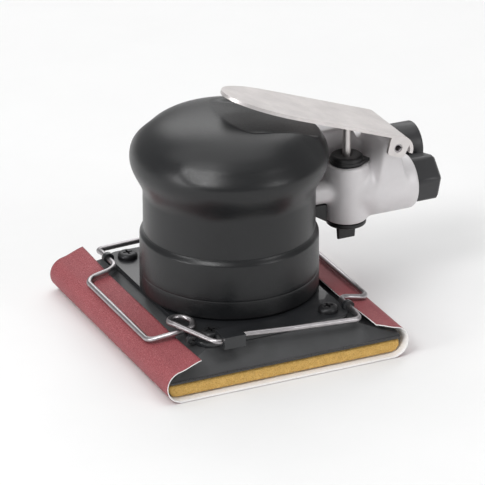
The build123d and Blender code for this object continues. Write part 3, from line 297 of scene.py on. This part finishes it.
def make_materials():
    """One material for each finish."""
    return {
        "abrasive_paper": abrasive("grit_red"),
        "paper_back": paper_back("paper_back"),
        "foam_rubber": foam("foam_golden"),
        "base_metal": paint("base_grey", (0.050, 0.051, 0.053), 0.42, tint=0.12, grain_mm=0.5,
                            grain=0.02, specular=0.5),
        # Darker than base_grey: painted shade that stands in for the dark gap along the base plate's rim.
        "bead_painted_shade": paint("bead_shade_grey", (0.020, 0.020, 0.021), 0.30, tint=0.15),
        "black_steel": paint("plate_black", (0.016, 0.017, 0.019), 0.34, tint=0.2, grain_mm=0.6,
                             grain=0.015, coat=0.25),
        "spring_wire": paint("wire_steel", (0.43, 0.41, 0.42), 0.33, metal=1.0, tint=0.10, tint_mm=3.0,
                             grain_mm=0.8, grain=0.004, rough_spread=0.05),
        "screw_steel": paint("screw_black", (0.030, 0.030, 0.032), 0.36, metal=0.6, grain_mm=0.3,
                             grain=0.01),
        "stainless": brushed("lever_steel", (0.70, 0.665, 0.655), 0.40, (0.06, 1, 1)),
        "cast_alloy": paint("cast_alloy", (0.72, 0.70, 0.71), 0.40, metal=0.1, tint=0.05,
                            tint_mm=14.0, grain_mm=0.4, grain=0.02, rough_spread=0.05),
        "grip_rubber": rubber("grip_rubber", (0.0095, 0.0100, 0.0110), 0.33),
        "skirt_rubber": rubber("skirt_rubber", (0.0085, 0.0090, 0.0100), 0.33),
        "black_plastic": paint("black_plastic", (0.012, 0.012, 0.013), 0.38, tint=0.2, grain=0.01),
        "dark_fitting": paint("dark_fitting", (0.026, 0.026, 0.028), 0.40, tint=0.15, grain_mm=0.5,
                              grain=0.02),
        "bearing_steel": brushed("bearing_steel", (0.72, 0.72, 0.73), 0.15, (1, 1, 1)),
        "machined_steel": brushed("machined_steel", (0.50, 0.50, 0.52), 0.30, (1, 1, 0.1)),
        "seal_rubber": rubber("seal_rubber", (0.015, 0.015, 0.015), 0.5),
        "vane_composite": paint("vane_brown", (0.16, 0.09, 0.045), 0.6, tint=0.3, tint_mm=2.0,
                                stretch=(1, 1, 0.2)),
        "sintered_brass": paint("sintered", (0.38, 0.27, 0.12), 0.55, metal=0.8, tint=0.3,
                                tint_mm=0.8, grain_mm=0.5, grain=0.1),
    }


finishes = make_materials()


def dress(piece, name):
    """Gives a piece one finish in place of any it has."""
    piece.data.materials.clear()
    piece.data.materials.append(finishes[name])


def soften(piece, width_mm, segments=2, angle=32.0):
    """Rounds a CAD node's hard edges with modifiers, its mesh untouched."""
    weld = piece.modifiers.new("weld", "WELD")
    weld.merge_threshold = MERGE * MM
    bevel = piece.modifiers.new("bevel", "BEVEL")
    bevel.width = width_mm * MM
    bevel.segments = segments
    bevel.limit_method = "ANGLE"
    bevel.angle_limit = math.radians(angle)
    bevel.use_clamp_overlap = True
    bevel.harden_normals = True


def dress_nodes():
    """Every CAD node in its finish, its hard edges rounded where they show."""
    for part in frame["record"]["subparts"]:
        dress(nodes[part["node"]], part["material_slot"])
    for name, width_mm in (("clamp_plate", 0.35), ("base_plate", 0.3), ("lever_pin", 0.15),
                           ("inlet_bushing", 0.25), ("exhaust_silencer", 0.3),
                           ("regulator_knob", 0.25), ("valve_guide", 0.2)):
        soften(nodes[name], width_mm)


# ------------------------------------------------------------------ mesh helpers
def new_piece(name, verts, faces, body, replaced, slot, material=None, smooth=True):
    """A mesh piece in millimetres that rides on a body and takes a finish."""
    mesh = bpy.data.meshes.new(name)
    mesh.from_pydata([tuple(c * MM for c in v) for v in verts], [], faces)
    mesh.validate()
    piece = bpy.data.objects.new(name, mesh)
    bpy.context.scene.collection.objects.link(piece)
    settle(piece, body, replaced, slot, material, smooth)
    return piece


def settle(piece, body, replaced, slot, material=None, smooth=True):
    """Shades and dresses a piece, parents it to its body and hides the parts it replaces."""
    if smooth:
        piece.data.shade_smooth()
    dress(piece, material or slot)
    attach(piece, body)
    if replaced:
        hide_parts(*replaced)


def smoothstep(low, high, value):
    """0 below low, 1 above high, smooth between."""
    t = min(1.0, max(0.0, (value - low) / (high - low)))
    return t * t * (3.0 - 2.0 * t)


def grid_faces(rows, columns, closed=False):
    """Quads of a rows x columns grid; closed joins each row's last point to its first."""
    faces = []
    for i in range(rows - 1):
        for j in range(columns if closed else columns - 1):
            k = (j + 1) % columns
            faces.append((i * columns + j, i * columns + k, (i + 1) * columns + k, (i + 1) * columns + j))
    return faces


def apply_modifiers(piece):
    """Turns a piece's modifiers into its mesh."""
    depsgraph = bpy.context.evaluated_depsgraph_get()
    mesh = bpy.data.meshes.new_from_object(piece.evaluated_get(depsgraph))
    piece.modifiers.clear()
    piece.data = mesh


# ------------------------------------------------------------------ abrasive sheet
PAD_X = -1.2                     # the pad's centre at rest
SHEET_W, SHEET_SHOW_T = 114.0, 0.4
SHEET_HALF_X, WRAP_R, SHEET_CAD_T = 51.4, 6.8, 0.7
FLAP_LEN, FLAP_SLOPE = 9.3, math.radians(11.0)
CORNER_LIFT, FLAP_WAVE = 1.3, 0.35
WAVE_X, WAVE_Y, WAVE_SEED = 0.02, 0.045, 3.7     # the wave's turns per millimetre
CORNER_FROM, CORNER_TO = 28.0, 57.0     # the ends lift between these distances from the middle
SHEET_STEPS, SHEET_ROWS = 176, 96


def sheet_path(s):
    """Point and outward normal of the wrap's middle line at a signed length from its middle."""
    side, s = (1.0 if s >= 0 else -1.0), abs(s)
    mid_r = WRAP_R - SHEET_CAD_T / 2
    flat = SHEET_HALF_X - WRAP_R
    arc = mid_r * (math.pi - FLAP_SLOPE)
    if s <= flat:
        return side * s, SHEET_CAD_T / 2, 0.0, -1.0, 0.0
    if s <= flat + arc:
        turn = (s - flat) / mid_r - math.pi / 2
        return (side * (flat + mid_r * math.cos(turn)), WRAP_R + mid_r * math.sin(turn),
                side * math.cos(turn), math.sin(turn), 0.0)
    run = s - flat - arc
    turn = math.pi / 2 - FLAP_SLOPE
    x = flat + mid_r * math.cos(turn) - run * math.cos(FLAP_SLOPE)
    z = WRAP_R + mid_r * math.sin(turn) + run * math.sin(FLAP_SLOPE)
    return side * x, z, side * math.cos(turn), math.sin(turn), run / FLAP_LEN


def sheet_length():
    """Developed length of the wrap."""
    mid_r = WRAP_R - SHEET_CAD_T / 2
    return 2 * (SHEET_HALF_X - WRAP_R + mid_r * (math.pi - FLAP_SLOPE) + FLAP_LEN)


def add_sheet():
    """The wrapped abrasive sheet: grit outside, paper inside, its free ends a little wavy."""
    length = sheet_length()
    verts = []
    for i in range(SHEET_STEPS + 1):
        x, z, nx, nz, free = sheet_path(length * (i / SHEET_STEPS - 0.5))
        for j in range(SHEET_ROWS + 1):
            y = SHEET_W * (j / SHEET_ROWS - 0.5)
            wave = noise.noise(Vector((x * WAVE_X, y * WAVE_Y, WAVE_SEED)))
            corner = smoothstep(CORNER_FROM, CORNER_TO, abs(y))
            rise = smoothstep(0.0, 1.0, free) * (CORNER_LIFT * corner + FLAP_WAVE * wave)
            verts.append((x + nx * rise + PAD_X, y, z + nz * rise))
    faces = grid_faces(SHEET_STEPS + 1, SHEET_ROWS + 1)
    piece = new_piece("abrasive_wrap", verts, faces, "pad", ["abrasive_sheet"], "abrasive_paper")
    piece.data.materials.append(finishes["paper_back"])
    solid = piece.modifiers.new("thickness", "SOLIDIFY")
    solid.thickness = SHEET_SHOW_T * MM
    solid.offset = 0.0
    solid.material_offset = 1
    solid.material_offset_rim = 1
    solid.use_even_offset = True
    apply_modifiers(piece)


# ------------------------------------------------------------------ foam cushion
FOAM_X, FOAM_Y, FOAM_Z0, FOAM_Z1 = 98.0, 107.6, 0.95, 6.2
FOAM_ROUND, FOAM_VOXEL, FOAM_PIT = 3.6, 0.8, 0.16
PIT_COARSE, PIT_FINE, FINE_SHARE, PIT_MEAN = 900.0, 2300.0, 0.6, 0.4     # pits per metre


def add_foam():
    """The foam cushion: rounded under its two wrapped edges, its skin pitted."""
    half = FOAM_X / 2
    profile = []
    for side in (-1, 1):
        arc = []
        for k in range(9):
            turn = math.pi / 2 * k / 8
            arc.append((side * (half - FOAM_ROUND + FOAM_ROUND * math.sin(turn)),
                        FOAM_Z0 + FOAM_ROUND - FOAM_ROUND * math.cos(turn)))
        profile += (list(reversed(arc)) if side < 0 else arc)
    profile += [(half, FOAM_Z1), (-half, FOAM_Z1)]
    count = len(profile)
    verts = [(x + PAD_X, y, z) for y in (-FOAM_Y / 2, FOAM_Y / 2) for x, z in profile]
    faces = [tuple(range(count)), tuple(reversed(range(count, 2 * count)))]
    faces += [(k, k + count, (k + 1) % count + count, (k + 1) % count) for k in range(count)]
    piece = new_piece("foam_cushion", verts, faces, "pad", ["foam_pad"], "foam_rubber")
    remesh = piece.modifiers.new("remesh", "REMESH")
    remesh.mode = "VOXEL"
    remesh.voxel_size = FOAM_VOXEL * MM
    apply_modifiers(piece)
    normals = [v.normal.copy() for v in piece.data.vertices]
    for v, normal in zip(piece.data.vertices, normals):
        pit = noise.noise(v.co * PIT_COARSE) + FINE_SHARE * noise.noise(v.co * PIT_FINE)
        v.co += normal * (FOAM_PIT * MM * (pit - PIT_MEAN))
    piece.data.shade_smooth()
    dress(piece, "foam_rubber")


# ------------------------------------------------------------------ rubber grip
WAIST_R, WAIST_Z0, WAIST_Z1 = 33.7, 41.05, 57.0
HEAD_R, HEAD_Z, HEAD_TOP, HEAD_POWER = 38.7, 72.0, 88.9, 2.6
HOUSING_R = 31.35
SCOOP_FROM, SCOOP_BLEND, SCOOP_TO = 32.0, 16.0, 150.0
SCOOP_DEPTH, SCOOP_Z0, SCOOP_Z1, SCOOP_Z2 = 1.3, 72.5, 80.0, 86.5
PRESSED_SLOPE, HINGE = math.radians(13.8), (65.7, 68.3)
UNDER_LEVER = 3.2
BESIDE_FROM, BESIDE_TO = 16.2, 20.0     # the hollow fades out beside the lever
BEYOND_FROM, BEYOND_TO = 8.5, 14.0      # and past its palm end
SCOOP_FADE, SCOOP_CREST = 20.0, 2.0
NECK_POWER, GRIP_ROOT = 1.15, 8.0
DOME_STEPS, NECK_STEPS, WAIST_STEPS, GRIP_TURN_STEPS = 48, 32, 14, 288


def grip_profile():
    """Radius and height down the grip's outside, from its top to its foot."""
    points = []
    for k in range(DOME_STEPS + 1):
        turn = math.pi / 2 * (1 - k / DOME_STEPS)
        points.append((HEAD_R * math.cos(turn) ** (2 / HEAD_POWER) if k else 0.0,
                       HEAD_Z + (HEAD_TOP - HEAD_Z) * math.sin(turn)))
    for k in range(1, NECK_STEPS + 1):
        t = k / NECK_STEPS
        points.append((HEAD_R - (HEAD_R - WAIST_R) * smoothstep(0.0, 1.0, t) ** NECK_POWER,
                       HEAD_Z - (HEAD_Z - WAIST_Z1) * t))
    for k in range(1, WAIST_STEPS + 1):
        z = WAIST_Z1 - (WAIST_Z1 - WAIST_Z0) * k / WAIST_STEPS
        points.append((WAIST_R, z))
    return points


def scoop(angle, z):
    """How far the side of the head is scooped for the fingers, in millimetres."""
    off = abs(math.degrees(math.atan2(math.sin(angle - math.pi), math.cos(angle - math.pi))))
    round_it = (smoothstep(SCOOP_FROM, SCOOP_FROM + SCOOP_BLEND, off)
                * (1 - smoothstep(SCOOP_TO - SCOOP_FADE, SCOOP_TO, off)))
    up = smoothstep(SCOOP_Z0, SCOOP_Z1 - SCOOP_CREST, z) * (1 - smoothstep(SCOOP_Z1, SCOOP_Z2, z))
    return SCOOP_DEPTH * round_it * up


def under_lever(x, y, z):
    """The dome's height where the pressed lever comes down on it."""
    plane = HINGE[1] + (HINGE[0] - x) * math.tan(PRESSED_SLOPE) + UNDER_LEVER / math.cos(PRESSED_SLOPE)
    beside = 1 - smoothstep(BESIDE_FROM, BESIDE_TO, abs(y))
    end = 1 - smoothstep(BEYOND_FROM, BEYOND_TO, -x)
    return z - max(0.0, z - plane) * beside * end


def add_grip():
    """The rubber grip: one lathe-turned skin, scooped at the sides and under the lever."""
    verts = [(0.0, 0.0, under_lever(0.0, 0.0, HEAD_TOP))]
    profile = grip_profile()[1:]
    profile += [(HOUSING_R, WAIST_Z0), (HOUSING_R, WAIST_Z0 + GRIP_ROOT)]
    for r, z in profile:
        for j in range(GRIP_TURN_STEPS):
            angle = 2 * math.pi * j / GRIP_TURN_STEPS
            out = r - scoop(angle, z)
            x, y = out * math.cos(angle), out * math.sin(angle)
            verts.append((x, y, under_lever(x, y, z)))
    n = GRIP_TURN_STEPS
    faces = [(0, 1 + j, 1 + (j + 1) % n) for j in range(n)]
    faces += [tuple(1 + k for k in reversed(face)) for face in grid_faces(len(profile), n, closed=True)]
    new_piece("grip_skin", verts, faces, "housing", ["grip_cover"], "grip_rubber")


# ------------------------------------------------------------------ rubber skirt
LIP_Z, SHOULDER_Z = 41.9, 39.4
SKIRT_R0, SKIRT_R1, SKIRT_FOOT, SKIRT_IN = 35.2, 35.05, 17.5, 32.8
SEAM_Z, SEAM_HALF, SEAM_DEPTH = 25.0, 0.5, 0.08
LIP_OUT, FOOT_ROUND, FUNNEL_Z, HOUSING_Z = 0.05, 0.6, 28.5, 30.0
SKIRT_CLEAR, LIP_T, SKIRT_RIM = 0.02, 0.3, 41.0
LIP_STEPS, SEAM_STEPS, FOOT_STEPS, SKIRT_TURN_STEPS = 12, 4, 6, 192


def skirt_profile():
    """Radius and height round the skirt's section, from its lip down and back up inside."""
    points = []
    for k in range(LIP_STEPS + 1):
        t = k / LIP_STEPS
        points.append((WAIST_R + LIP_OUT + (SKIRT_R1 - WAIST_R - LIP_OUT) * smoothstep(0.0, 1.0, t),
                       LIP_Z - (LIP_Z - SHOULDER_Z) * t))
    points += [(35.1, 33.0), (35.17, SEAM_Z + 2.0)]
    for k in range(2 * SEAM_STEPS + 1):
        t = k / SEAM_STEPS - 1
        points.append((SKIRT_R0 - SEAM_DEPTH * (1 - smoothstep(0.0, 1.0, abs(t))), SEAM_Z - SEAM_HALF * t))
    points += [(SKIRT_R0, SEAM_Z - 2.0), (SKIRT_R0, SKIRT_FOOT + 2.0)]
    for k in range(FOOT_STEPS + 1):
        turn = math.pi / 2 * k / FOOT_STEPS
        points.append((SKIRT_R0 - FOOT_ROUND + FOOT_ROUND * math.cos(turn),
                       SKIRT_FOOT + FOOT_ROUND - FOOT_ROUND * math.sin(turn)))
    inner = HOUSING_R + SKIRT_CLEAR
    points += [(SKIRT_IN, SKIRT_FOOT), (SKIRT_IN, FUNNEL_Z), (inner, HOUSING_Z), (inner, SKIRT_RIM),
               (WAIST_R - LIP_T, LIP_Z - LIP_T)]
    return points


def add_skirt():
    """The skirt: its lip feathers onto the grip's foot."""
    profile = skirt_profile()
    verts = []
    for j in range(SKIRT_TURN_STEPS):
        angle = 2 * math.pi * j / SKIRT_TURN_STEPS
        verts += [(r * math.cos(angle), r * math.sin(angle), z) for r, z in profile]
    n, count = SKIRT_TURN_STEPS, len(profile)
    faces = grid_faces(n, count, closed=True)
    last = (n - 1) * count
    faces += [(last + k, last + (k + 1) % count, (k + 1) % count, k) for k in range(count)]
    new_piece("skirt_skin", verts, faces, "housing", ["skirt"], "skirt_rubber")


RIB_HALF, RIB_EDGE = 1.9, 0.35


def add_gusset():
    """The small rib of the grip under the feed tube."""
    outline = [(32.7, 43.3), (32.7, 41.4), (35.5, 41.2), (35.5, 39.6), (41.6, 35.8), (41.8, 36.4),
               (41.8, 43.3)]
    n = len(outline)
    verts = [(x, y, z) for y in (-RIB_HALF, RIB_HALF) for x, z in outline]
    faces = [tuple(range(n)), tuple(reversed(range(n, 2 * n)))]
    faces += [(k, k + n, (k + 1) % n + n, (k + 1) % n) for k in range(n)]
    piece = new_piece("grip_rib", verts, faces, "housing", [], "grip_rubber", smooth=False)
    soften(piece, RIB_EDGE, segments=3)


# ------------------------------------------------------------------ casting
CAST_VOXEL, CAST_SMOOTH, CAST_RELAX = 0.6, 34, 0.6


def add_casting():
    """The casting, its junctions and edges flowing into each other as cast metal does."""
    source = nodes["motor_housing"]
    mesh = source.data.copy()
    piece = bpy.data.objects.new("housing_casting", mesh)
    bpy.context.scene.collection.objects.link(piece)
    weld = piece.modifiers.new("weld", "WELD")
    weld.merge_threshold = MERGE * MM
    remesh = piece.modifiers.new("remesh", "REMESH")
    remesh.mode = "VOXEL"
    remesh.voxel_size = CAST_VOXEL * MM
    relax = piece.modifiers.new("relax", "SMOOTH")
    relax.factor = CAST_RELAX
    relax.iterations = CAST_SMOOTH
    apply_modifiers(piece)
    settle(piece, "housing", ["motor_housing"], "cast_alloy")


# ------------------------------------------------------------------ base plate's bead
BEAD_R, BEAD_Z, BEAD_X, BEAD_Y, BEAD_TURN = 0.5, 7.75, 49.0, 54.35, 1.6
BEAD_STEPS, BEAD_SIDES = 6, 12


def add_bead():
    """The rolled bead that runs round the base plate's rim, coloured darker than the plate as painted
    shade of the gap along the rim.
    """
    path = []
    for corner, (sx, sy) in enumerate(((1, 1), (-1, 1), (-1, -1), (1, -1))):
        for k in range(BEAD_STEPS + 1):
            turn = math.pi / 2 * (corner + k / BEAD_STEPS)
            path.append((sx * (BEAD_X - BEAD_TURN) + BEAD_TURN * math.cos(turn),
                         sy * (BEAD_Y - BEAD_TURN) + BEAD_TURN * math.sin(turn), turn))
    verts = []
    sides = BEAD_SIDES
    for x, y, turn in path:
        for k in range(sides):
            roll = 2 * math.pi * k / sides
            out = BEAD_R * math.cos(roll)
            verts.append((x + out * math.cos(turn) + PAD_X, y + out * math.sin(turn),
                          BEAD_Z + BEAD_R * math.sin(roll)))
    faces = grid_faces(len(path), sides, closed=True)
    last = (len(path) - 1) * sides
    faces += [(last + k, last + (k + 1) % sides, (k + 1) % sides, k) for k in range(sides)]
    faces = [tuple(reversed(face)) for face in faces]
    new_piece("rim_bead", verts, faces, "pad", [], "base_metal", material="bead_painted_shade")


add_stage()
add_camera()
dress_nodes()
add_sheet()
add_foam()
add_grip()
add_skirt()
add_gusset()
add_casting()
add_bead()
